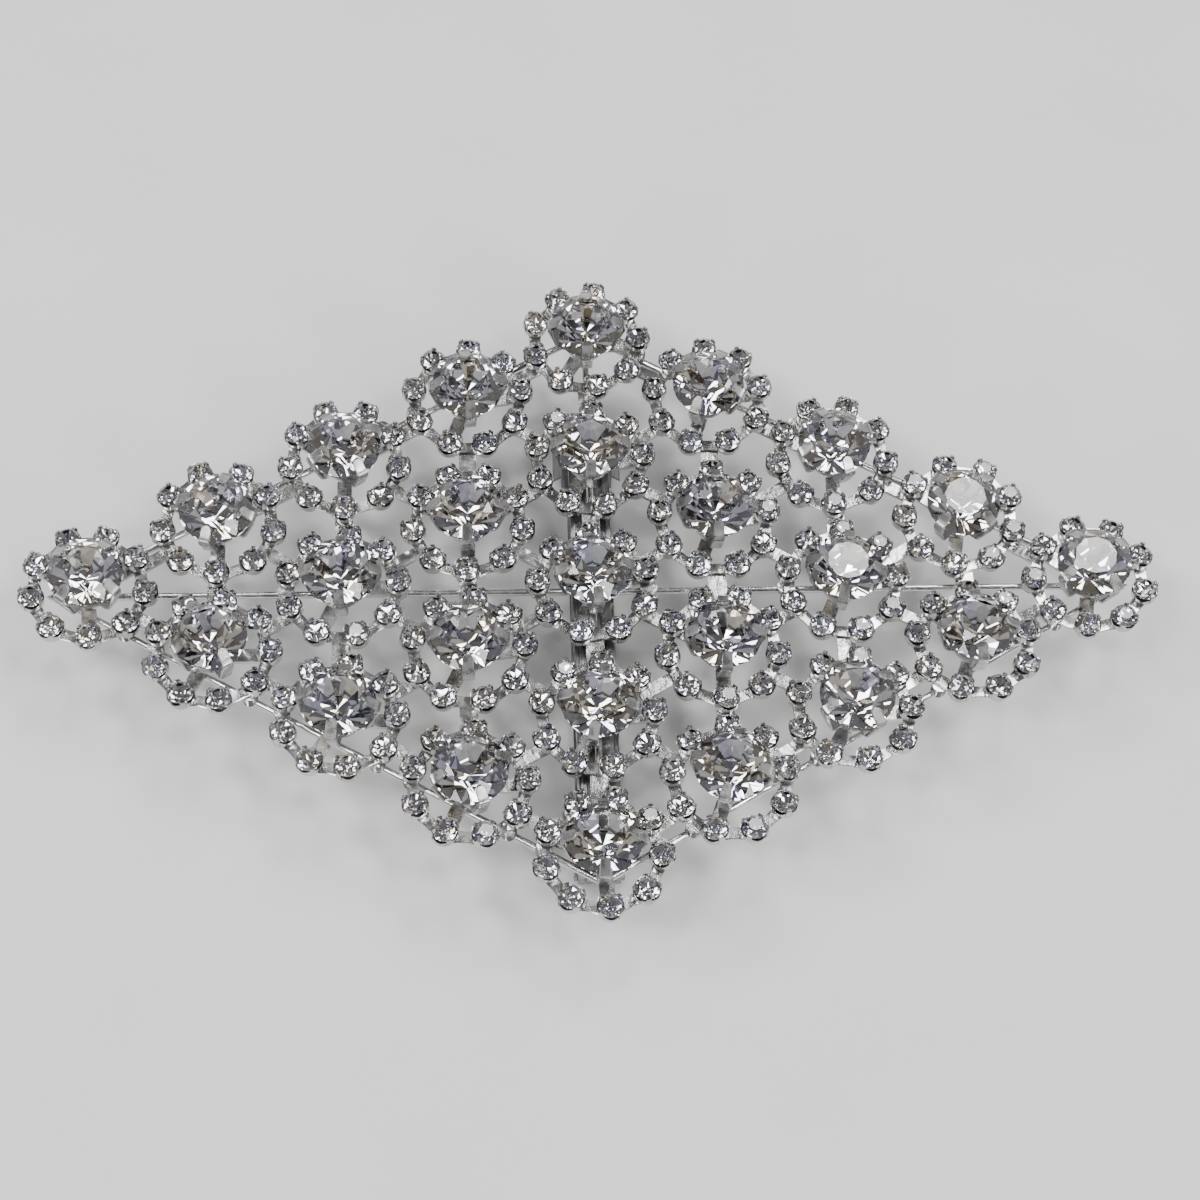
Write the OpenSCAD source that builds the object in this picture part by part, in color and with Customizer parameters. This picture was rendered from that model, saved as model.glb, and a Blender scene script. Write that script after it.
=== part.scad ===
// Rhinestone hair clip: a diamond-shaped net of crystal flowers on a wire frame,
// with a slim spring barrette behind its middle column. Millimetres.
// The clip lies on its clasp arm, face up: +Z is up, +X runs along the long diagonal.

/* [Net] */
// Distance between the centres of two neighbouring flowers
flower_pitch = 15.8; // [15.6:0.1:16.4]
// Inward lean of the outer flowers, whose outer side rests on the frame wire
rim_tilt = 4; // [0:0.5:5]
// Diameter of the frame wires
wire_d = 0.8; // [0.7:0.1:1]
// Thickness of the soldered link plates under the flowers
plate_t = 0.45; // [0.3:0.05:0.6]
// Distance of the outer wires from the line of outer flower centres
rim_wire_offset = 2; // [1:0.25:3]

/* [Ring of small stones] */
// Cups in one ring
ring_cups = 9; // [7:1:9]
// Radius of the circle through the cup centres
ring_r = 6.2; // [6.15:0.05:6.25]
// Outer radius of a cup
cup_r = 1.5; // [1.45:0.01:1.5]
// Height of a cup's wall
cup_h = 1.75; // [1.6:0.05:1.9]
// Width of the flat link between two cups
link_w = 1.5; // [1:0.1:1.8]
// Thickness of the flat links
link_t = 0.4; // [0.3:0.05:0.5]
// Radius of a small stone
small_stone_r = 1.37; // [1.3:0.01:1.37]

/* [Centre stone and setting] */
// Radius of a centre stone at its girdle
stone_r = 4.05; // [4:0.01:4.07]
// Height of the girdle's lower edge above the flower's underside
girdle_z = 4.2; // [4:0.05:4.4]
// Height of the table above the flower's underside
table_z = 5.95; // [5.8:0.05:6.1]
// Width of a claw
claw_w = 1.4; // [1:0.1:1.6]
// Thickness of the claws and of the setting's base
claw_t = 0.4; // [0.35:0.05:0.4]

/* [Barrette] */
// Width of the base strip and of the clasp arm
strip_w = 4.6; // [4.4:0.1:5]
// Thickness of the base strip and of the clasp arm
strip_t = 0.8; // [0.7:0.05:0.9]
// Height of the base strip's underside above the resting face
base_z = 7.4; // [7.4:0.1:9]
// Distance of the hinge pin from the middle, towards -Y
hinge_y = 30; // [29:0.5:30]
// Distance of the catch leaves from the middle, towards +Y
catch_y = 20; // [19:0.1:20.5]
// Radius of the hinge pin
pin_r = 0.6; // [0.5:0.05:0.65]
// How far the bow spring arches away from the base
bow_sag = 2; // [1:0.1:2]

/* [Hidden] */
$fn = 48;
GRID = 5;
LAST = GRID - 1;
LETTERS = ["a", "b", "c", "d", "e"];
CELLS = [0 : LAST];
step_x = flower_pitch * cos(30);
step_y = flower_pitch / 2;
// Outward directions of the diamond's sides where i or j is at its last value
NORMAL_I = [0.5, -cos(30)];
NORMAL_J = [0.5, cos(30)];

// Turn of each ring of cups and of each claw setting, flower by flower
RING_TURN = [
    [35, 30, 30, 10, 0],
    [0, 5, 30, 5, 10],
    [0, 5, 15, 10, 30],
    [5, 5, 30, 5, 20],
    [35, 10, 0, 10, 20]
];
SETTING_TURN = [
    [55, 75, 30, 5, 0],
    [30, 0, 0, 0, 65],
    [80, 0, 5, 0, 20],
    [20, 80, 0, 80, 45],
    [0, 75, 30, 0, 30]
];

// Heights of the layers: base strip, wires, link plates, flowers
wire_z = base_z + strip_t + wire_d / 2;
plate_z = wire_z + wire_d / 2;
net_z = plate_z + plate_t;
flower_r = ring_r + cup_r;
rim_lift = flower_r * sin(rim_tilt);

// Cup and small stone
cup_floor = 0.5;
cup_wall = 0.1;
small_girdle_z = 1.5;
small_table_z = 2.3;
small_table_r = 0.75;
small_culet_r = 0.4;

// Centre stone and claws
girdle_t = 0.25;
table_r = 2.3;
culet_r = 0.6;
stone_gap = 0.04;
setting_r = 3.3;
setting_hub_r = 2.2;
claw_grip = 1;

// Barrette
ear_t = 0.7;
ear_r = 1.3;
ear_w = 2.6;
pin_z = 1.35;
pin_clear = 0.05;
pin_seat = 0.01;
pin_head_r = 0.95;
pin_head_t = 0.4;
barrel_r = 1.25;
barrel_half = strip_w / 2 - ear_t - 0.2;
base_start = hinge_y + 3;
base_end = catch_y + 3.4;
arm_start = hinge_y - 2.4;
arm_end = catch_y - 2.6;
tongue_half = 1.5;
tongue_end = catch_y + 2.9;
tongue_z = 0.95;
riser_w = 0.8;
bow_w = strip_w - 1.4;
bow_t = 0.3;
bow_end = (hinge_y - 2.8 + arm_end + 0.2) / 2;
bow_half = bow_end - 3.7;
bow_y = arm_end + 0.2 - bow_end;
bow_gap = 0.03;
keeper_w = 1.4;
keeper_reach = bow_end - 1.7;
leaf_w = 4;
leaf_y = catch_y - leaf_w / 2;
leaf_t = 0.4;
leaf_x = strip_w / 2 + 0.2;
leaf_foot = 0.35;
lip_x = tongue_half + 0.15;
knuckle_r = 0.4;
tab_reach = 1.4;
tab_low = 1.8;
tab_top = 3.4;
tab_t = 0.5;
leaf_hinge_z = base_z + strip_t / 2;

function ring_name(i, j) = str("ring_", LETTERS[i], j + 1);
function row_name(kind, i) = str(kind, "_row_", LETTERS[i]);

// Places of the flowers. Row i runs parallel to one side of the diamond, j counts along it.
function edge_sign(i) = i == 0 ? -1 : i == LAST ? 1 : 0;
function centre(i, j) = [(i + j - LAST) * step_x, (j - i) * step_y];
function outward(i, j) = edge_sign(i) * NORMAL_I + edge_sign(j) * NORMAL_J;
function is_rim(i, j) = norm(outward(i, j)) > 0;
function lift(i, j) = is_rim(i, j) ? rim_lift : 0;
// Height of a flower's underside at plan position p
function underside(i, j, p) =
    let (out = outward(i, j))
    lift(i, j) + (is_rim(i, j) ? tan(rim_tilt) * (p - centre(i, j)) * out / norm(out) : 0);

module at_flower(i, j) {
    out = outward(i, j);
    translate([centre(i, j)[0], centre(i, j)[1], net_z + lift(i, j)])
        rotate(a = is_rim(i, j) ? rim_tilt : 0, v = is_rim(i, j) ? [out[1], -out[0], 0] : [0, 0, 1])
            children();
}

// Ring of cups joined by flat links
module nonagon(r, h) {
    cylinder(r = r / cos(180 / ring_cups), h = h, $fn = ring_cups);
}

module at_cups() {
    for (k = [0 : ring_cups - 1])
        rotate(k * 360 / ring_cups)
            translate([ring_r, 0, 0])
                children();
}

module link_band() {
    link_mid = ring_r * cos(180 / ring_cups);
    difference() {
        nonagon(link_mid + link_w / 2, link_t);
        translate([0, 0, -1])
            nonagon(link_mid - link_w / 2, link_t + 2);
    }
}

module ring_of_cups() {
    difference() {
        union() {
            link_band();
            at_cups()
                cylinder(r = cup_r, h = cup_h);
        }
        at_cups()
            translate([0, 0, cup_floor])
                cylinder(r = cup_r - cup_wall, h = cup_h);
    }
}

module ring(i, j) {
    color("silver")
        at_flower(i, j)
            rotate(RING_TURN[i][j])
                ring_of_cups();
}

// Small stone, its flat culet on the cup's floor
module small_stone() {
    rotate_extrude()
        polygon([
            [0, cup_floor],
            [small_culet_r, cup_floor],
            [small_stone_r, small_girdle_z],
            [small_stone_r, small_girdle_z + 0.15],
            [small_table_r, small_table_z],
            [0, small_table_z]
        ]);
}

module small_stones_row(i) {
    color("lavender")
        for (j = CELLS)
            at_flower(i, j)
                rotate(RING_TURN[i][j])
                    at_cups()
                        small_stone();
}

// Four-claw setting: a round base with claws that rise outside the girdle and fold over the crown
module claw() {
    crown = [table_r - stone_r, table_z - girdle_z - girdle_t];
    along = crown / norm(crown);
    out = [along[1], -along[0]];
    corner = [stone_r, girdle_z + girdle_t] + stone_gap * out;
    inner_r = stone_r + stone_gap;
    rotate([90, 0, 0])
        linear_extrude(height = claw_w, center = true)
            polygon([
                [setting_hub_r, 0],
                [setting_r, 0],
                [inner_r + claw_t, girdle_z - 0.3],
                [inner_r + claw_t, girdle_z + girdle_t + 0.25],
                corner + claw_grip * along + 0.9 * claw_t * out,
                corner + claw_grip * along,
                corner,
                [inner_r, girdle_z],
                [inner_r, girdle_z - 0.3],
                [setting_r - 0.25, claw_t],
                [setting_hub_r, claw_t]
            ]);
}

module claw_setting() {
    cylinder(r = setting_r, h = claw_t);
    for (k = [0 : 3])
        rotate(k * 90)
            claw();
}

module setting_row(i) {
    color("silver")
        for (j = CELLS)
            at_flower(i, j)
                rotate(SETTING_TURN[i][j])
                    claw_setting();
}

// Centre stone, its flat culet on the setting's base
module centre_stone() {
    rotate_extrude()
        polygon([
            [0, claw_t],
            [culet_r, claw_t],
            [stone_r, girdle_z],
            [stone_r, girdle_z + girdle_t],
            [table_r, table_z],
            [0, table_z]
        ]);
}

module stone_row(i) {
    color("white")
        for (j = CELLS)
            at_flower(i, j)
                centre_stone();
}

// Wire frame: four outer wires mitred at the corners, one wire along each diagonal
module rim_wire(side_x, side_y) {
    whole = 5 * flower_pitch;
    miter = 0.02;
    quadrant = 100;
    color("silver")
        intersection() {
            translate([side_x * step_x * 2, side_y * flower_pitch, wire_z])
                rotate(side_x * side_y * -30)
                    translate([0, side_y * rim_wire_offset, 0])
                        rotate([0, 90, 0])
                            cylinder(d = wire_d, h = whole, center = true);
            translate([side_x > 0 ? miter : -quadrant, side_y > 0 ? miter : -quadrant, 0])
                cube([quadrant - miter, quadrant - miter, 2 * wire_z]);
        }
}

module long_wire() {
    half = LAST * step_x + 2 * rim_wire_offset - 3;
    color("silver")
        translate([0, 0, wire_z])
            rotate([0, 90, 0])
                cylinder(d = wire_d, h = 2 * half, center = true);
}

module short_wire() {
    half = LAST * step_y + rim_wire_offset - 0.6;
    gap = wire_d / 2 + 0.02;
    color("silver")
        for (s = [-1, 1])
            translate([0, s * gap, wire_z])
                rotate([-s * 90, 0, 0])
                    cylinder(d = wire_d, h = half - gap);
}

// Solder: link plates between flowers, tabs under each setting, pads on the wires
module link_plate(a, b) {
    ca = centre(a[0], a[1]);
    cb = centre(b[0], b[1]);
    dir = (cb - ca) / norm(cb - ca);
    za = underside(a[0], a[1], ca + ring_r * dir);
    zb = underside(b[0], b[1], cb - ring_r * dir);
    mid = (ca + cb) / 2;
    plate_l = flower_pitch - 2 * ring_r + 1.6;
    plate_w = abs(dir[0]) < 0.1 ? 2 : 1.4;
    translate([mid[0], mid[1], net_z + (za + zb) / 2])
        rotate([0, 0, atan2(dir[1], dir[0])])
            rotate([0, -atan2(zb - za, flower_pitch - 2 * ring_r), 0])
                translate([0, 0, -plate_t / 2])
                    cube([plate_l, plate_w, plate_t], center = true);
}

module setting_tabs(i, j) {
    at_flower(i, j)
        rotate(RING_TURN[i][j])
            for (k = [0 : 2])
                rotate(k * 120)
                    translate([setting_hub_r, -0.8, -plate_t])
                        cube([ring_r - setting_hub_r, 1.6, plate_t]);
}

module wire_pad(i, j, p) {
    translate([p[0], p[1], wire_z])
        cylinder(r = 0.85, h = net_z - wire_z + underside(i, j, p));
}

// Pads where the outer wires pass under a ring, on each side that has a next flower
module rim_pads(i, j) {
    reach = sqrt(ring_r * ring_r - rim_wire_offset * rim_wire_offset);
    c = centre(i, j);
    for (s = [-1, 1]) {
        if (edge_sign(i) != 0 && j + s >= 0 && j + s <= LAST)
            wire_pad(i, j, c + rim_wire_offset * edge_sign(i) * NORMAL_I + s * reach * [cos(30), 0.5]);
        if (edge_sign(j) != 0 && i + s >= 0 && i + s <= LAST)
            wire_pad(i, j, c + rim_wire_offset * edge_sign(j) * NORMAL_J + s * reach * [cos(30), -0.5]);
    }
}

// Pads where the two diagonal wires pass under a ring
module diagonal_pads(i, j) {
    c = centre(i, j);
    for (s = [-1, 1]) {
        if (i == j && abs(c[0] + s * ring_r) < LAST * step_x)
            wire_pad(i, j, c + [s * ring_r, 0]);
        if (i + j == LAST && abs(c[1] + s * ring_r) < LAST * step_y)
            wire_pad(i, j, c + [0, s * ring_r]);
    }
}

module base_seams() {
    for (y = [-27, -13, 3, 19])
        translate([0, y, base_z + strip_t + wire_d / 4])
            cube([2.4, 3, wire_d / 2], center = true);
}

module solder_links() {
    color("gainsboro") {
        for (i = CELLS, j = CELLS) {
            if (i < LAST)
                link_plate([i, j], [i + 1, j]);
            if (j < LAST)
                link_plate([i, j], [i, j + 1]);
            if (i > 0 && j < LAST)
                link_plate([i, j], [i - 1, j + 1]);
            setting_tabs(i, j);
            rim_pads(i, j);
            diagonal_pads(i, j);
        }
        base_seams();
    }
}

// Barrette. Its strips run along Y, with the hinge at the -Y end and the catch at the +Y end.
module strip(half_w, y0, y1, z0, z1) {
    translate([-half_w, y0, z0])
        cube([2 * half_w, y1 - y0, z1 - z0]);
}

module along_x(y, z, r, half) {
    translate([0, y, z])
        rotate([0, 90, 0])
            cylinder(r = r, h = 2 * half, center = true);
}

module hinge_ear(side) {
    x0 = side > 0 ? strip_w / 2 - ear_t : -strip_w / 2;
    translate([x0, -hinge_y, 0])
        rotate([90, 0, 90])
            linear_extrude(height = ear_t)
                union() {
                    translate([-ear_w / 2, pin_z])
                        square([ear_w, base_z - pin_z + strip_t / 2]);
                    translate([0, pin_z])
                        circle(r = ear_r);
                }
}

// Bridge under the base that holds one end of the bow spring
module bow_keeper(y) {
    post_w = 0.5;
    drop = bow_t + 2 * bow_gap;
    translate([0, y - keeper_w / 2, 0]) {
        strip(strip_w / 2, 0, keeper_w, base_z - drop - 0.4, base_z - drop);
        for (x = [-strip_w / 2, strip_w / 2 - post_w])
            translate([x, 0, base_z - drop - 0.4])
                cube([post_w, keeper_w, drop + 0.8]);
    }
}

module barrette_base() {
    color("lightgray")
        difference() {
            union() {
                strip(strip_w / 2, -base_start, base_end, base_z, base_z + strip_t);
                hinge_ear(-1);
                hinge_ear(1);
                bow_keeper(bow_y - keeper_reach);
                bow_keeper(bow_y + keeper_reach);
            }
            along_x(-hinge_y, pin_z, pin_r + pin_seat, strip_w);
        }
}

module bow_spring() {
    top = base_z - bow_gap;
    arc_r = (bow_half * bow_half + bow_sag * bow_sag) / (2 * bow_sag);
    color("darkgray")
        translate([-bow_w / 2, bow_y, 0])
            rotate([90, 0, 90])
                linear_extrude(height = bow_w)
                    union() {
                        intersection() {
                            translate([0, top - bow_sag - bow_t + arc_r])
                                difference() {
                                    circle(r = arc_r, $fn = 360);
                                    circle(r = arc_r - bow_t, $fn = 360);
                                }
                            translate([-bow_half, 0])
                                square([2 * bow_half, top]);
                        }
                        for (s = [-1, 1])
                            translate([s > 0 ? bow_half - 0.3 : -bow_end, top - bow_t])
                                square([bow_end - bow_half + 0.3, bow_t]);
                    }
}

module hinge_pin() {
    outer = strip_w / 2 + pin_seat;
    color("gray") {
        along_x(-hinge_y, pin_z, pin_r, outer + pin_head_t);
        for (s = [-1, 1])
            translate([s > 0 ? outer : -outer - pin_head_t, -hinge_y, pin_z])
                rotate([0, 90, 0])
                    cylinder(r = pin_head_r, h = pin_head_t);
    }
}

module clasp_arm() {
    color("lightgray")
        difference() {
            union() {
                strip(strip_w / 2, -arm_start, arm_end, 0, strip_t);
                strip(barrel_half, -hinge_y, -arm_start + 0.5, 0, strip_t);
                along_x(-hinge_y, pin_z, barrel_r, barrel_half);
                strip(tongue_half, arm_end - riser_w, arm_end, 0, tongue_z + strip_t);
                strip(tongue_half, arm_end - riser_w, tongue_end, tongue_z, tongue_z + strip_t);
            }
            along_x(-hinge_y, pin_z, pin_r + pin_clear, strip_w);
        }
}

// Sprung leaf beside the tongue: a knuckle at the base strip, a lip below and a finger tab outside
module catch_leaf(side) {
    color("darkgray")
        mirror([side > 0 ? 0 : 1, 0, 0])
            translate([0, leaf_y + leaf_w, 0])
                rotate([90, 0, 0])
                    linear_extrude(height = leaf_w)
                        union() {
                            translate([leaf_x, leaf_foot])
                                square([leaf_t, leaf_hinge_z - leaf_foot]);
                            translate([lip_x, leaf_foot])
                                square([leaf_x - lip_x + leaf_t, leaf_t]);
                            polygon([
                                [leaf_x + leaf_t / 2, tab_top - tab_t],
                                [leaf_x + tab_reach, tab_low],
                                [leaf_x + tab_reach, tab_low + tab_t],
                                [leaf_x + leaf_t / 2, tab_top]
                            ]);
                            translate([leaf_x + knuckle_r, leaf_hinge_z])
                                circle(r = knuckle_r);
                        }
}

for (i = CELLS, j = CELLS)
    ring(i, j);
for (i = CELLS) {
    setting_row(i);
    stone_row(i);
    small_stones_row(i);
}
rim_wire(-1, 1);  // rim_wire_upper_left
rim_wire(1, 1);  // rim_wire_upper_right
rim_wire(-1, -1);  // rim_wire_lower_left
rim_wire(1, -1);  // rim_wire_lower_right
long_wire();
short_wire();
solder_links();
barrette_base();
bow_spring();
hinge_pin();
clasp_arm();
catch_leaf(-1);  // catch_leaf_left
catch_leaf(1);  // catch_leaf_right
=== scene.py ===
"""Rhinestone hair clip: cut stones, cups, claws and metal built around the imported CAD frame."""

import math
import random

import bmesh
import bpy
from mathutils import Matrix, Vector


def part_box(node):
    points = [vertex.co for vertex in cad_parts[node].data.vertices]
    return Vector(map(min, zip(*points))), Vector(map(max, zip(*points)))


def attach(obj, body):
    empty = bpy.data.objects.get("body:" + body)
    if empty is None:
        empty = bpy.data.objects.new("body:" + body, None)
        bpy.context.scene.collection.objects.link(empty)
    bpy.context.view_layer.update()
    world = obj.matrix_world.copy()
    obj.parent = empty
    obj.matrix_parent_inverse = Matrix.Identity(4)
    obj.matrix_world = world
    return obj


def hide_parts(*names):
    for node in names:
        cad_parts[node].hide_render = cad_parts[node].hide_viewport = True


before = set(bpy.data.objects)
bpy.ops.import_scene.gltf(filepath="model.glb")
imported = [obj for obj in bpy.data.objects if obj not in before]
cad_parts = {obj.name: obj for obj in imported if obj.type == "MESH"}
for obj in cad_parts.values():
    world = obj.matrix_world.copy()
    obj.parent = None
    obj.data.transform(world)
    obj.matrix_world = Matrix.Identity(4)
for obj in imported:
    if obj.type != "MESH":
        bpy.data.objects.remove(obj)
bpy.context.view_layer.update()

MM = 0.001
ORNAMENT = "ornament"
rng = random.Random(25)

# The net, in millimetres, as the design has it
GRID = 5
LAST = GRID - 1
PITCH = 15.8
RIM_TILT = math.radians(4)
RING_CUPS = 9
RING_R = 6.2
CUP_R = 1.5
CLAWS = 4
FLOWER_R = RING_R + CUP_R
# Distance from a flower's axis at which only its setting's claws have corners
CLAW_BAND = (4.2, 4.7)
# Height of the net's underside, read from a flower that doesn't lean
NET_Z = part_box("ring_c3")[0].z / MM

# Small errors of hand setting: degrees of lean or turn, and millimetres that a cup sits inward
STONE_LEAN = 0.3
SMALL_STONE_LEAN = 6
CUP_LEAN = 2.5
CUP_TURN = 6
CUP_STEP = 1.5
CUP_INSET = (0.04, 0.12)
# A link's end lies this far from the axis of its cup
LINK_END = 1

# Heights in a flower about which its leaning pieces turn
STONE_PIVOT = 4.3
CUP_PIVOT = 1.2
SMALL_STONE_PIVOT = 1.5

# Lamps stand this far from the origin, and the floor reaches this far, in metres
LAMP_DISTANCE = 0.9
FLOOR_R = 0.8


# ---------------------------------------------------------------- places

def edge_sign(k):
    return {0: -1, LAST: 1}.get(k, 0)


def flower_frame(i, j):
    """Matrix from a flower's own frame to the row frame, both in millimetres."""
    cos30 = math.cos(math.radians(30))
    out = edge_sign(i) * Vector((0.5, -cos30, 0)) + edge_sign(j) * Vector((0.5, cos30, 0))
    tilt = RIM_TILT if out.length > 0 else 0
    lift = FLOWER_R * math.sin(tilt)
    place = Matrix.Translation(((i + j - LAST) * PITCH * cos30, (j - i) * PITCH / 2, NET_Z + lift))
    axis = Vector((out.y, -out.x, 0)) if tilt else Vector((0, 0, 1))
    return place @ Matrix.Rotation(tilt, 4, axis)


def turn_of(node, place, count, r_low, r_high):
    """Turn about a flower's axis of the features that a CAD node repeats count times around it."""
    to_flower = place.inverted()
    total = complex(0, 0)
    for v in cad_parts[node].data.vertices:
        p = to_flower @ (v.co / MM)
        if r_low < math.hypot(p.x, p.y) < r_high:
            total += complex(math.cos(count * math.atan2(p.y, p.x)), math.sin(count * math.atan2(p.y, p.x)))
    return math.atan2(total.imag, total.real) / count


def letter(i):
    return "abcde"[i]


def z_turn(angle):
    return Matrix.Rotation(angle, 4, "Z")


def small_tilt(limit):
    """A random lean of at most limit degrees about a random level axis."""
    direction = rng.uniform(0, 2 * math.pi)
    lean = math.radians(rng.uniform(0, limit))
    return Matrix.Rotation(lean, 4, Vector((math.cos(direction), math.sin(direction), 0)))


# ---------------------------------------------------------------- mesh code

class Shape:
    """Vertices in millimetres with faces and each face's material number."""

    def __init__(self):
        self.points, self.faces, self.kinds = [], [], []

    def add(self, other, matrix):
        first = len(self.points)
        self.points += [matrix @ p for p in other.points]
        self.faces += [[first + k for k in f] for f in other.faces]
        self.kinds += other.kinds

    def face(self, corners, kind=0):
        self.faces.append(list(corners))
        self.kinds.append(kind)


def lathe(profile, steps, rim_wave=None):
    """A closed solid of revolution whose profile starts and ends on the axis.

    A point between them is (radius, height, share of rim_wave(angle) that it rises by).
    """
    shape = Shape()
    inner = profile[1:-1]
    shape.points = [Vector((0, 0, profile[0][1])), Vector((0, 0, profile[-1][1]))]
    for s in range(steps):
        angle = 2 * math.pi * s / steps
        for r, z, share in inner:
            wave = share * rim_wave(angle) if rim_wave else 0
            shape.points.append(Vector((r * math.cos(angle), r * math.sin(angle), z + wave)))
    count = len(inner)
    for s in range(steps):
        a, b = 2 + s * count, 2 + (s + 1) % steps * count
        shape.face([0, b, a])
        for k in range(count - 1):
            shape.face([a + k, b + k, b + k + 1, a + k + 1])
        shape.face([1, a + count - 1, b + count - 1])
    return shape


def side_points(pairs):
    """Points in the XZ plane from (x, z) pairs."""
    return [Vector((x, 0, z)) for x, z in pairs]


def smooth_path(points, parts):
    """Catmull-Rom curve through the points, with parts steps from one to the next."""
    ends = [points[0] * 2 - points[1]] + points + [points[-1] * 2 - points[-2]]
    curve = []
    for k in range(1, len(ends) - 2):
        a, b, c, d = ends[k - 1:k + 3]
        for s in range(parts):
            t = s / parts
            curve.append(0.5 * (2 * b + (c - a) * t + (2 * a - 5 * b + 4 * c - d) * t * t
                                + (3 * b - a - 3 * c + d) * t ** 3))
    return curve + [points[-1]]


def strip(path, widths, thickness, chamfer):
    """A flat strip swept along a path in the XZ plane, its edges chamfered and its two ends closed."""
    shape = Shape()
    for k, p in enumerate(path):
        ahead = path[min(k + 1, len(path) - 1)] - path[max(k - 1, 0)]
        normal = Vector((-ahead.z, 0, ahead.x)).normalized()
        w, t = widths[k] / 2, thickness / 2
        c = min(chamfer, 0.6 * w, 0.6 * t)
        right = [(w - c, t), (w, t - c), (w, c - t), (w - c, -t)]
        left = [(c - w, -t), (-w, c - t), (-w, t - c), (c - w, t)]
        shape.points += [p + Vector((0, side, 0)) + normal * up for side, up in right + left]
    corners = 8
    for k in range(len(path) - 1):
        for s in range(corners):
            a, b = k * corners + s, k * corners + (s + 1) % corners
            shape.face([a, b, b + corners, a + corners])
    shape.face(range(corners - 1, -1, -1))
    shape.face(range(len(path) * corners - corners, len(path) * corners))
    return shape


def rounded_widths(count, base, tip, round_part):
    """Widths from base to tip, the last part of the strip closing in a round end."""
    widths = []
    for k in range(count):
        t = k / (count - 1)
        w = base + (tip - base) * t
        if t > 1 - round_part:
            u = (t - 1 + round_part) / round_part
            w *= math.sqrt(max(0.12, 1 - u * u))
        widths.append(w)
    return widths


def brilliant(sides, girdle_r, table_r, girdle_z, table_z, culet_z, star_share, main_share):
    """A round brilliant: kites, stars and upper halves above the girdle, foiled mains and lower halves below.

    Kind 0 is clear crystal; kinds 1 to 3 are the foils of the pavilion facets. Kinds 2 and 3 sit on two of
    every five mains and on one lower half beside each; they are violet and amber foil that paint coloured
    glints in place of dispersion.
    """
    shape = Shape()
    half = math.pi / sides
    low, high = girdle_z

    def corner(r, step, z):
        shape.points.append(Vector((r * math.cos(step * half), r * math.sin(step * half), z)))
        return len(shape.points) - 1

    star_r = table_r + star_share * (girdle_r - table_r)
    star_z = table_z + (high - table_z) * (star_r * math.cos(half) - table_r) / (girdle_r - table_r)
    main_r = main_share * girdle_r
    main_z = culet_z + (low - culet_z) * main_r * math.cos(half) / girdle_r
    table = [corner(table_r, 2 * k, table_z) for k in range(sides)]
    star = [corner(star_r, 2 * k + 1, star_z) for k in range(sides)]
    upper = [corner(girdle_r, k, high) for k in range(2 * sides)]
    lower = [corner(girdle_r, k, low) for k in range(2 * sides)]
    main = [corner(main_r, 2 * k + 1, main_z) for k in range(sides)]
    culet = corner(0, 0, culet_z)
    shape.face(table)
    for k in range(sides):
        after, before = (k + 1) % sides, k - 1
        shape.face([table[k], star[k], table[after]])
        shape.face([table[k], star[before], upper[2 * k], star[k]])
        shape.face([star[k], upper[2 * k], upper[2 * k + 1]])
        shape.face([star[k], upper[2 * k + 1], upper[(2 * k + 2) % (2 * sides)]])
        # Two of every five mains, and one lower half beside each, get violet or amber foil: painted coloured
        # glints.
        painted_glint_kind = {2: 2, 4: 3}.get(k % 5, 1)
        shape.face([culet, main[before], lower[2 * k], main[k]], painted_glint_kind)
        shape.face([main[k], lower[2 * k + 1], lower[2 * k]], 1)
        shape.face([main[k], lower[(2 * k + 2) % (2 * sides)], lower[2 * k + 1]], painted_glint_kind)
    for k in range(2 * sides):
        after = (k + 1) % (2 * sides)
        shape.face([upper[k], lower[k], lower[after], upper[after]])
    return shape


def make_object(name, shape, materials, smooth_angle=None):
    """A mesh object in metres from a shape, its faces turned outward."""
    mesh = bpy.data.meshes.new(name)
    mesh.from_pydata([p * MM for p in shape.points], [], shape.faces)
    for face, kind in zip(mesh.polygons, shape.kinds):
        face.material_index = kind
        face.use_smooth = smooth_angle is not None
    work = bmesh.new()
    work.from_mesh(mesh)
    bmesh.ops.recalc_face_normals(work, faces=work.faces)
    work.to_mesh(mesh)
    work.free()
    if smooth_angle is not None:
        mesh.set_sharp_from_angle(angle=math.radians(smooth_angle))
    for m in materials:
        mesh.materials.append(m)
    piece = bpy.data.objects.new(name, mesh)
    bpy.context.scene.collection.objects.link(piece)
    return piece


def install(piece, slot, *nodes):
    """The piece stands for the CAD nodes and moves with the ornament."""
    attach(piece, ORNAMENT)
    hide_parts(*nodes)


# ---------------------------------------------------------------- materials

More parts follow.
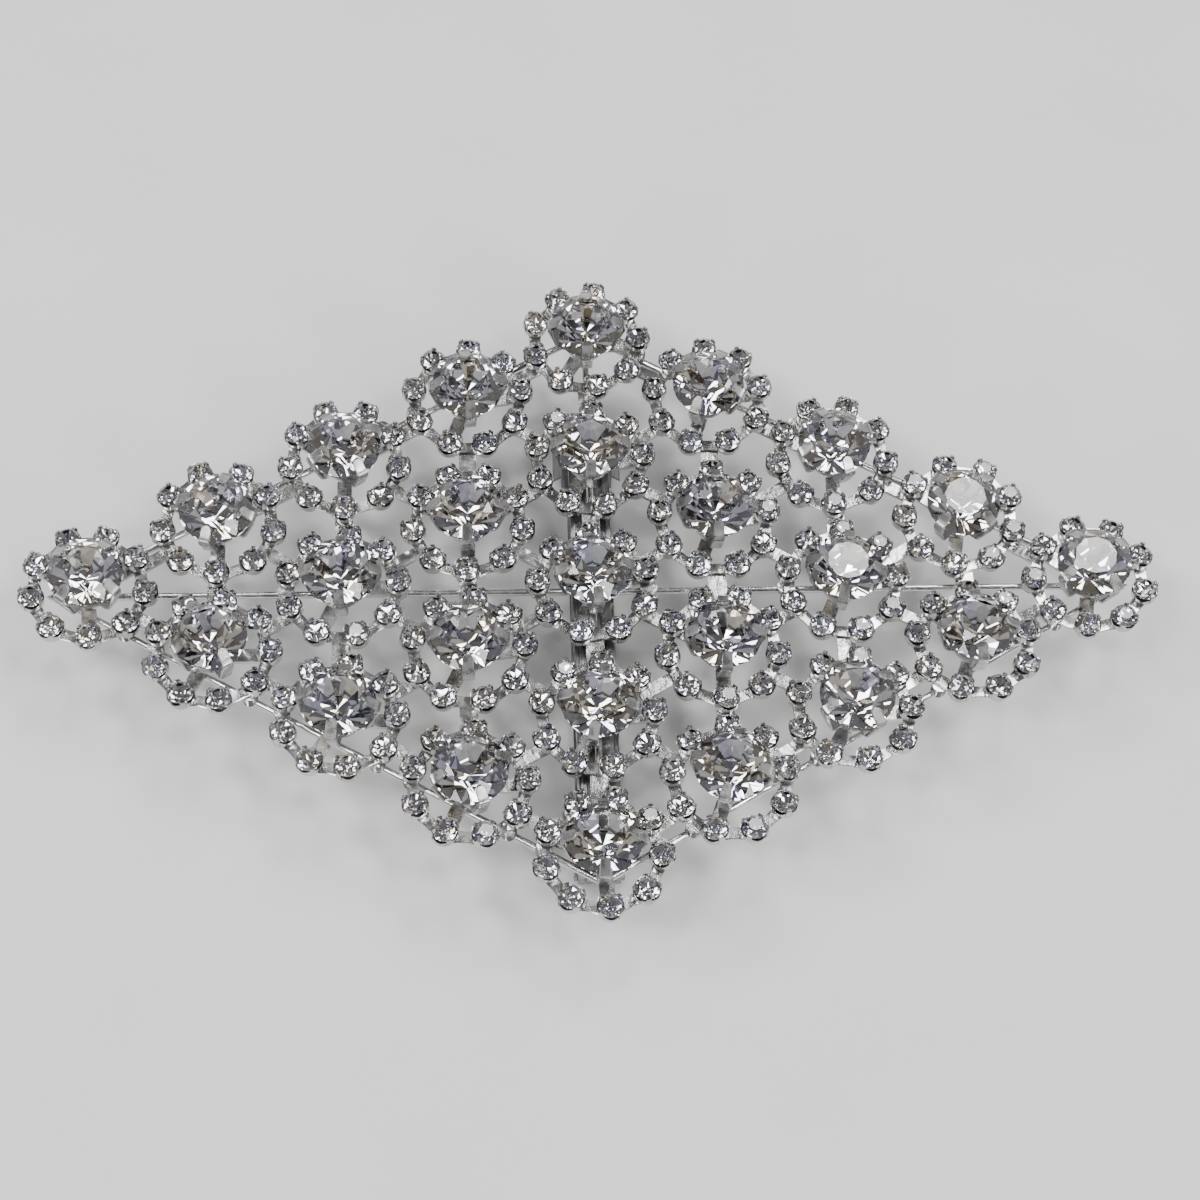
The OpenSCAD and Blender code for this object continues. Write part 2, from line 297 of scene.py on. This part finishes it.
class Nodes:
    """A short way to build one material's node tree."""

    def __init__(self, name):
        self.material = bpy.data.materials.new(name)
        self.material.use_nodes = True
        self.tree = self.material.node_tree
        self.shader = self.tree.nodes["Principled BSDF"]
        self.coords = self.tree.nodes.new("ShaderNodeTexCoord").outputs["Object"]

    def set(self, **values):
        for key, value in values.items():
            self.shader.inputs[key.replace("_", " ")].default_value = value

    def link(self, source, socket):
        self.tree.links.new(source, self.shader.inputs[socket])

    def noise(self, feature_mm, detail=3.0, stretch=(1, 1, 1)):
        """Noise whose blotches are about feature_mm across."""
        mapping = self.tree.nodes.new("ShaderNodeMapping")
        mapping.inputs["Scale"].default_value = stretch
        self.tree.links.new(self.coords, mapping.inputs["Vector"])
        node = self.tree.nodes.new("ShaderNodeTexNoise")
        node.inputs["Scale"].default_value = 1 / (feature_mm * MM)
        node.inputs["Detail"].default_value = detail
        self.tree.links.new(mapping.outputs["Vector"], node.inputs["Vector"])
        return node.outputs["Fac"]

    def ramp(self, source, stops):
        """Colours by value: stops are (position, colour)."""
        node = self.tree.nodes.new("ShaderNodeValToRGB")
        elements = node.color_ramp.elements
        while len(elements) < len(stops):
            elements.new(0.5)
        for element, (position, colour) in zip(elements, stops):
            element.position = position
            element.color = (*colour, 1)
        self.tree.links.new(source, node.inputs["Fac"])
        return node.outputs["Color"]

    def spread(self, source, low, high):
        """The middle of a noise's range mapped to low..high."""
        node = self.tree.nodes.new("ShaderNodeMapRange")
        node.inputs["From Min"].default_value = 0.3
        node.inputs["From Max"].default_value = 0.7
        node.inputs["To Min"].default_value = low
        node.inputs["To Max"].default_value = high
        self.tree.links.new(source, node.inputs["Value"])
        return node.outputs["Result"]

    def bump(self, source, depth_mm, strength):
        node = self.tree.nodes.new("ShaderNodeBump")
        node.inputs["Distance"].default_value = depth_mm * MM
        node.inputs["Strength"].default_value = strength
        self.tree.links.new(source, node.inputs["Height"])
        self.link(node.outputs["Normal"], "Normal")


def silver_plate(name, light, dark, rough, grain_mm, depth_mm):
    """Bright plated metal with darker patches, uneven gloss between the two rough values and fine dents."""
    n = Nodes(name)
    n.set(Metallic=1.0)
    n.link(n.ramp(n.noise(3.0), [(0.3, dark), (0.55, light)]), "Base Color")
    n.link(n.spread(n.noise(1.2, 4.0), *rough), "Roughness")
    n.bump(n.noise(grain_mm, 4.0), depth_mm, 0.6)
    return n.material


def brushed_strip(name, light, dark, rough):
    """Nickel-plated strip with brush lines along Y."""
    n = Nodes(name)
    n.set(Metallic=1.0)
    lines = n.noise(0.25, 4.0, (1, 0.03, 1))
    n.link(n.ramp(lines, [(0.3, dark), (0.7, light)]), "Base Color")
    n.link(n.spread(lines, *rough), "Roughness")
    n.bump(lines, 0.01, 0.4)
    return n.material


def crystal(name):
    """Clear cut glass, very slightly warm in places and cool in others: a painted tint that stands in for the
    coloured glints of dispersion.
    """
    n = Nodes(name)
    n.set(Transmission_Weight=1.0, IOR=1.56, Roughness=0.0)
    n.link(n.ramp(n.noise(9.0, 1.0), [(0.35, (0.93, 0.95, 1.0)), (0.6, (1.0, 0.985, 0.95))]), "Base Color")
    return n.material


def foil(name, light, dark):
    """Mirror foil behind a stone, slightly clouded."""
    n = Nodes(name)
    n.set(Metallic=1.0, Roughness=0.02)
    n.link(n.ramp(n.noise(1.6, 2.0), [(0.35, dark), (0.6, light)]), "Base Color")
    return n.material


def floor_paint():
    """Pale matt paper with a faint mottle."""
    n = Nodes("pale_paper")
    n.link(n.ramp(n.noise(30.0, 5.0), [(0.3, (0.74, 0.74, 0.735)), (0.7, (0.78, 0.78, 0.775))]), "Base Color")
    n.set(Roughness=0.9)
    n.bump(n.noise(0.6, 3.0), 0.02, 0.3)
    return n.material


CUP_SILVER = silver_plate("cup_silver", (0.62, 0.62, 0.61), (0.34, 0.335, 0.33), (0.1, 0.26), 0.35, 0.015)
CLAW_SILVER = silver_plate("claw_silver", (0.5, 0.495, 0.49), (0.32, 0.315, 0.31), (0.2, 0.38), 0.3, 0.015)
WIRE_SILVER = silver_plate("wire_silver", (0.68, 0.68, 0.67), (0.4, 0.395, 0.39), (0.08, 0.2), 0.5, 0.02)
SOLDER = silver_plate("solder_silver", (0.66, 0.66, 0.65), (0.38, 0.375, 0.37), (0.12, 0.3), 0.6, 0.04)
# Silver foil is the stones' own backing; the violet and amber foils paint coloured glints in place of
# dispersion.
STONE = [crystal("clear_crystal"), foil("silver_foil", (0.93, 0.93, 0.93), (0.78, 0.78, 0.8)),
         foil("violet_painted_glint_foil", (0.84, 0.81, 0.93), (0.68, 0.66, 0.76)),
         foil("amber_painted_glint_foil", (0.96, 0.89, 0.78), (0.8, 0.73, 0.64))]
STRIP_STEEL = brushed_strip("strip_steel", (0.4, 0.4, 0.4), (0.24, 0.24, 0.245), (0.2, 0.36))
SPRING_STEEL = brushed_strip("spring_steel", (0.34, 0.34, 0.35), (0.2, 0.2, 0.21), (0.24, 0.4))


# ---------------------------------------------------------------- pieces

def cup_shape():
    """A stamped cup with a scalloped wall and four claws folded over the stone."""
    scallop = 0.22
    wall = [(0, 0.02), (1.16, 0.02, 0), (1.32, 0.12, 0), (1.39, 0.5, 0.2), (1.43, 0.95, 0.7), (1.44, 1.16, 1),
            (1.41, 1.2, 1), (1.38, 1.16, 1), (1.36, 0.9, 0.6), (1.24, 0.45, 0), (0, 0.42)]
    cup = lathe(wall, 28, lambda angle: scallop * math.cos(CLAWS * angle))
    bend = [(1.39, 0.6), (1.455, 1.0), (1.475, 1.4), (1.46, 1.68), (1.35, 1.87), (1.18, 2.0), (1.0, 2.12)]
    path = smooth_path(side_points(bend), 3)
    claw = strip(path, rounded_widths(len(path), 0.66, 0.42, 0.35), 0.14, 0.045)
    for k in range(CLAWS):
        cup.add(claw, z_turn(k * 2 * math.pi / CLAWS))
    return cup


def link_shape(length):
    """A flat link between two cups, waisted in the middle."""
    middle_z = 0.2
    path = side_points([(length * (t - 0.5), middle_z) for t in (0, 0.25, 0.5, 0.75, 1)])
    return strip(path, [1.5, 1.34, 1.28, 1.34, 1.5], 0.26, 0.07)


def claw_setting():
    """A round base and four claws that rise outside the girdle and fold over the crown."""
    base = [(0, 0.03), (2.1, 0.03, 0), (2.26, 0.1, 0), (2.3, 0.22, 0),
            (2.24, 0.33, 0), (2.1, 0.38, 0), (0, 0.38)]
    setting = lathe(base, 32)
    bend = [(1.6, 0.21), (2.7, 0.21), (3.14, 0.4), (3.36, 0.95), (3.7, 2.1), (4.05, 3.3),
            (4.26, 3.95), (4.3, 4.38), (4.17, 4.63), (3.86, 4.83), (3.3, 5.27), (2.78, 5.68)]
    path = smooth_path(side_points(bend), 4)
    claw = strip(path, rounded_widths(len(path), 1.45, 1.1, 0.06), 0.3, 0.08)
    for k in range(CLAWS):
        setting.add(claw, z_turn(k * 2 * math.pi / CLAWS))
    return setting


CENTRE_STONE = brilliant(sides=10, girdle_r=4.04, table_r=2.25, girdle_z=(4.2, 4.42), table_z=5.88,
                         culet_z=0.72, star_share=0.5, main_share=0.72)
SMALL_STONE = brilliant(sides=8, girdle_r=1.345, table_r=0.73, girdle_z=(1.46, 1.56), table_z=2.25,
                        culet_z=0.52, star_share=0.5, main_share=0.7)
CUP = cup_shape()
SETTING = claw_setting()


def about(z, lean):
    """The lean taken about a point on the axis at height z."""
    return Matrix.Translation((0, 0, z)) @ lean @ Matrix.Translation((0, 0, -z))


def build_row(i):
    """One row of flowers: a piece for each ring, and one each for settings, centre and small stones."""
    settings, stones, small = Shape(), Shape(), Shape()
    for j in range(GRID):
        place = flower_frame(i, j)
        ring_node = f"ring_{letter(i)}{j + 1}"
        ring_turn = turn_of(ring_node, place, RING_CUPS, FLOWER_R - 0.3, FLOWER_R + 0.1)
        claw_turn = turn_of(f"setting_row_{letter(i)}", place, CLAWS, *CLAW_BAND)
        settings.add(SETTING, place @ z_turn(claw_turn))
        stone_lean = about(STONE_PIVOT, small_tilt(STONE_LEAN))
        stones.add(CENTRE_STONE, place @ stone_lean @ z_turn(rng.uniform(0, 2 * math.pi)))
        ring = Shape()
        angles = []
        for k in range(RING_CUPS):
            error = math.radians(rng.uniform(-CUP_STEP, CUP_STEP))
            angles.append(ring_turn + 2 * math.pi * k / RING_CUPS + error)
        for k, angle in enumerate(angles):
            cup_place = place @ z_turn(angle) @ Matrix.Translation((RING_R - rng.uniform(*CUP_INSET), 0, 0))
            lean = about(CUP_PIVOT, small_tilt(CUP_LEAN))
            claws_turn = math.pi / CLAWS + math.radians(rng.uniform(-CUP_TURN, CUP_TURN))
            ring.add(CUP, cup_place @ lean @ z_turn(claws_turn))
            stone_lean = about(SMALL_STONE_PIVOT, small_tilt(SMALL_STONE_LEAN))
            small.add(SMALL_STONE, cup_place @ lean @ stone_lean @ z_turn(rng.uniform(0, math.pi)))
            step = (angles[(k + 1) % RING_CUPS] - angle) % (2 * math.pi)
            middle = z_turn(angle + step / 2) @ Matrix.Translation((RING_R * math.cos(step / 2), 0, 0))
            length = 2 * RING_R * math.sin(step / 2) - 2 * LINK_END
            ring.add(link_shape(length), place @ middle @ z_turn(math.pi / 2))
        install(make_object(f"cup_ring_{letter(i)}{j + 1}", ring, [CUP_SILVER], 35), "cup_chain", ring_node)
    row = f"row_{letter(i)}"
    install(make_object(f"claw_settings_{row}", settings, [CLAW_SILVER], 35), "claw_metal", f"setting_{row}")
    install(make_object(f"cut_stones_{row}", stones, STONE), "crystal", f"stone_{row}")
    install(make_object(f"cut_small_stones_{row}", small, STONE), "small_crystal", f"small_stones_{row}")


def finish_cad(node, material, bevel_mm):
    """A CAD part that keeps its shape gets its material and broken edges."""
    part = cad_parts[node]
    part.data.materials.clear()
    part.data.materials.append(material)
    weld = part.modifiers.new("weld", "WELD")
    weld.merge_threshold = 1e-6
    bevel = part.modifiers.new("edges", "BEVEL")
    bevel.width = bevel_mm * MM
    bevel.segments = 2
    bevel.limit_method = "ANGLE"
    bevel.angle_limit = math.radians(35)
    normals = part.modifiers.new("normals", "WEIGHTED_NORMAL")
    normals.keep_sharp = True


for row_number in range(GRID):
    build_row(row_number)
for wire in ("rim_wire_upper_left", "rim_wire_upper_right", "rim_wire_lower_left", "rim_wire_lower_right",
             "long_wire", "short_wire"):
    finish_cad(wire, WIRE_SILVER, 0.1)
finish_cad("solder_links", SOLDER, 0.12)
finish_cad("barrette_base", STRIP_STEEL, 0.1)
finish_cad("clasp_arm", STRIP_STEEL, 0.12)
finish_cad("hinge_pin", STRIP_STEEL, 0.1)
for spring in ("bow_spring", "catch_leaf_left", "catch_leaf_right"):
    finish_cad(spring, SPRING_STEEL, 0.06)


# ---------------------------------------------------------------- stage, light and camera

def softbox(name, azimuth, elevation, size, power, shape="SQUARE"):
    """A lamp that faces the clip from a direction in degrees; azimuth 0 is behind the clip, at +Y."""
    a, e = math.radians(azimuth), math.radians(elevation)
    lamp = bpy.data.lights.new(name, "AREA")
    lamp.shape = shape
    lamp.size = size
    lamp.energy = power
    holder = bpy.data.objects.new(name, lamp)
    place = Vector((math.sin(a) * math.cos(e), math.cos(a) * math.cos(e), math.sin(e))) * LAMP_DISTANCE
    holder.location = place
    holder.rotation_euler = place.to_track_quat("Z", "Y").to_euler()
    bpy.context.scene.collection.objects.link(holder)


def make_floor():
    """A round sheet of paper under the clip."""
    mesh = bpy.data.meshes.new("floor")
    sides = 120
    turns = [2 * math.pi * k / sides for k in range(sides)]
    mesh.from_pydata([(FLOOR_R * math.cos(a), FLOOR_R * math.sin(a), 0) for a in turns], [], [range(sides)])
    mesh.materials.append(floor_paint())
    floor = bpy.data.objects.new("floor", mesh)
    bpy.context.scene.collection.objects.link(floor)


def make_camera():
    """A camera above the near side, turned a few degrees about its own axis."""
    azimuth, elevation, roll = math.radians(-5.7), math.radians(62.3), math.radians(4.4)
    distance = 250 * MM
    target = Vector((0.7, -1.5, NET_Z)) * MM
    back = Vector((math.sin(azimuth) * math.cos(elevation), -math.cos(azimuth) * math.cos(elevation),
                   math.sin(elevation)))
    right = (-back).cross(Vector((0, 0, 1))).normalized()
    up = right.cross(-back)
    x_axis = right * math.cos(roll) + up * math.sin(roll)
    y_axis = up * math.cos(roll) - right * math.sin(roll)
    camera = bpy.data.objects.new("camera", bpy.data.cameras.new("camera"))
    camera.data.lens = 68.6
    camera.data.sensor_width = 36
    camera.data.clip_start = 0.01
    camera.matrix_world = Matrix.Translation(target + back * distance) @ Matrix(
        (x_axis, y_axis, back)).transposed().to_4x4()
    bpy.context.scene.collection.objects.link(camera)
    bpy.context.scene.camera = camera


def make_world():
    """A studio that is pale near the horizon and dim overhead."""
    stops = ((0.1, 0.5), (0.42, 0.15))
    world = bpy.data.worlds.new("studio")
    world.use_nodes = True
    nodes, links = world.node_tree.nodes, world.node_tree.links
    direction = nodes.new("ShaderNodeTexCoord").outputs["Generated"]
    split = nodes.new("ShaderNodeSeparateXYZ")
    ramp = nodes.new("ShaderNodeValToRGB")
    for element, (height, grey) in zip(ramp.color_ramp.elements, stops):
        element.position = height
        element.color = (grey, grey, grey * 1.02, 1)
    links.new(direction, split.inputs[0])
    links.new(split.outputs["Z"], ramp.inputs["Fac"])
    links.new(ramp.outputs["Color"], nodes["Background"].inputs["Color"])
    bpy.context.scene.world = world


make_floor()
make_camera()
make_world()
softbox("overhead", 180, 86, 0.5, 0.25)
softbox("high_left", -115, 60, 0.2, 2.8)
softbox("high_right", 105, 64, 0.18, 2.4)
softbox("left", -80, 42, 0.2, 2.6)
softbox("right", 85, 38, 0.17, 2)
softbox("front", 140, 34, 0.2, 2.2)
softbox("front_left", -150, 30, 0.18, 1.4)
softbox("table_flash", 30.5, 61, 0.19, 1.5, "DISK")
softbox("flash_left", -25, 50, 0.11, 0.6, "DISK")
softbox("flash_back", -35, 72, 0.11, 0.6, "DISK")
softbox("glint_left", -130, 62, 0.05, 0.5, "DISK")
softbox("glint_right", 120, 58, 0.05, 0.5, "DISK")
